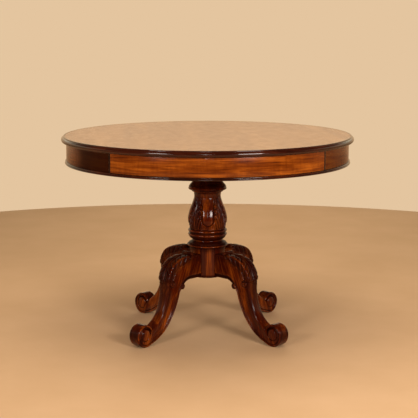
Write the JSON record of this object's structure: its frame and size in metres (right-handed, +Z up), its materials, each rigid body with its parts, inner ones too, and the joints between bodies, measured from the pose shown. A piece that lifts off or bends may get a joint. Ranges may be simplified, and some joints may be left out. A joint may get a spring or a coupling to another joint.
{
  "type": "round pedestal dining table",
  "caption": "Round pedestal dining table with a moulded top, a hoop frieze, a turned and carved column and scrolled legs, in polished mahogany.",
  "frame": {"origin": "on the floor under the middle of the top, on the column's axis", "axes": "+Z up along the column, -Y to the front, +X to the right"},
  "size_m": [1.1198, 1.1198, 0.77],
  "materials": {
    "mahogany_top": "high-gloss polished flame mahogany veneer",
    "mahogany_rim": "high-gloss dark red-brown polish on solid mahogany",
    "mahogany_amber": "high-gloss polish on amber mahogany veneer",
    "mahogany_red": "high-gloss polish on deep red mahogany veneer",
    "ebonised_line": "polished dark stringing",
    "mahogany_carved": "high-gloss polish on carved solid mahogany, darker in the hollows",
    "frame_wood": "planed, unpolished hardwood",
    "beech": "plain beech dowel",
    "plated_steel": "zinc plated"
  },
  "bodies": {
    "root": {"top_panel": "mahogany_top", "top_edge_front": "mahogany_rim", "top_edge_right": "mahogany_rim", "top_edge_back": "mahogany_rim", "top_edge_left": "mahogany_rim", "frieze_front": "mahogany_amber", "frieze_right": "mahogany_red", "frieze_back": "mahogany_amber", "frieze_left": "mahogany_red", "frieze_bead_front": "mahogany_rim", "frieze_bead_right": "mahogany_rim", "frieze_bead_back": "mahogany_rim", "frieze_bead_left": "mahogany_rim", "frieze_strip_front_right": "ebonised_line", "frieze_strip_back_right": "ebonised_line", "frieze_strip_back_left": "ebonised_line", "frieze_strip_front_left": "ebonised_line", "frieze_block_front_right": "frame_wood", "frieze_block_back_right": "frame_wood", "frieze_block_back_left": "frame_wood", "frieze_block_front_left": "frame_wood", "frieze_block_front": "frame_wood", "frieze_block_right": "frame_wood", "frieze_block_back": "frame_wood", "frieze_block_left": "frame_wood", "bearer_left": "frame_wood", "bearer_right": "frame_wood", "pedestal_plate": "frame_wood", "plate_screw_1": "plated_steel", "plate_screw_2": "plated_steel", "plate_screw_3": "plated_steel", "plate_screw_4": "plated_steel", "bearer_screw_1": "plated_steel", "bearer_screw_2": "plated_steel", "bearer_screw_3": "plated_steel", "bearer_screw_4": "plated_steel", "column_collar": "mahogany_carved", "column_vase": "mahogany_carved", "column_base": "mahogany_carved", "hub_block": "mahogany_carved", "hub_cap": "mahogany_carved", "column_rod": "plated_steel", "rod_washer_top": "plated_steel", "rod_nut_top": "plated_steel", "rod_washer_bottom": "plated_steel", "rod_nut_bottom": "plated_steel", "leg_front_right": "mahogany_carved", "leg_back_right": "mahogany_carved", "leg_back_left": "mahogany_carved", "leg_front_left": "mahogany_carved", "leg_dowel_lower_front_right": "beech", "leg_dowel_upper_front_right": "beech", "leg_dowel_lower_back_right": "beech", "leg_dowel_upper_back_right": "beech", "leg_dowel_lower_back_left": "beech", "leg_dowel_upper_back_left": "beech", "leg_dowel_lower_front_left": "beech", "leg_dowel_upper_front_left": "beech"}
  },
  "joints": []
}
